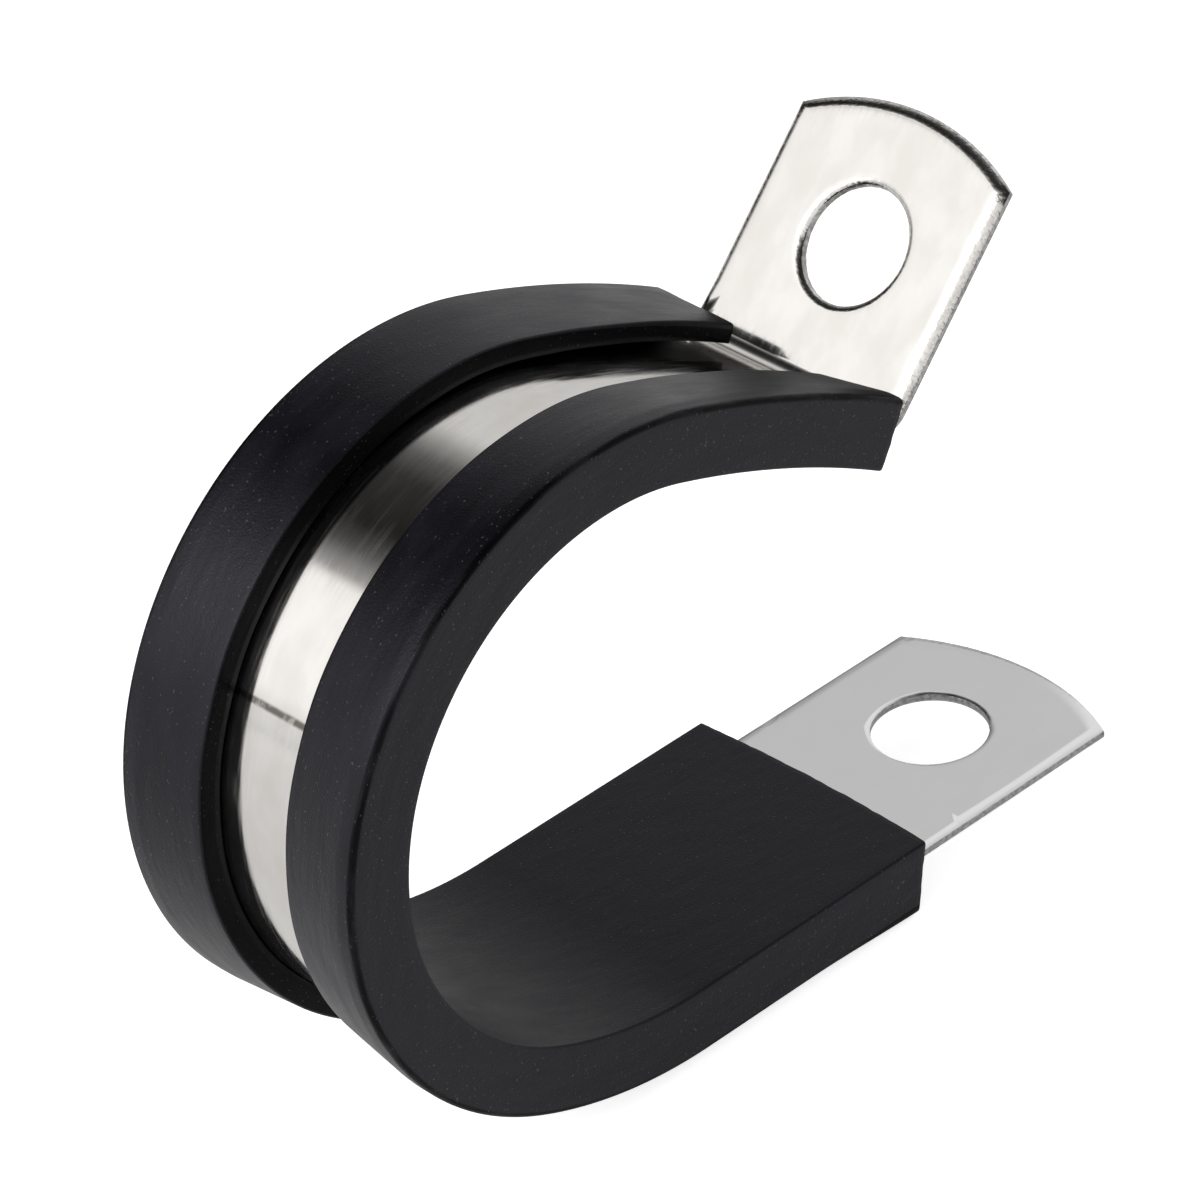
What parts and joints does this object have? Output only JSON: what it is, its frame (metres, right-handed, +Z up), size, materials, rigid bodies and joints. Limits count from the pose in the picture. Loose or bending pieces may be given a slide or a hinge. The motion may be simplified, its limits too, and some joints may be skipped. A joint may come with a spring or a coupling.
{
  "type": "rubber-lined p clip",
  "caption": "Open P clip: a folded steel strap with two drilled tabs and a rubber channel liner, which holds a cable, hose or pipe on one screw.",
  "frame": {"origin": "on the axis of the loop, mid strap", "axes": "+X along the straight leg, from the loop towards the tabs; +Y across the strap, along the axis of the cable it holds; +Z up from the leg, towards the upper tab"},
  "size_m": [0.0569, 0.0172, 0.0412],
  "materials": {
    "strap_steel": "cold-rolled strip with a fine lengthwise grain and sheared edges",
    "liner_rubber": "matte extruded rubber with a little dust"
  },
  "bodies": {
    "root": {"strap": "strap_steel", "liner": "liner_rubber"}
  },
  "joints": []
}
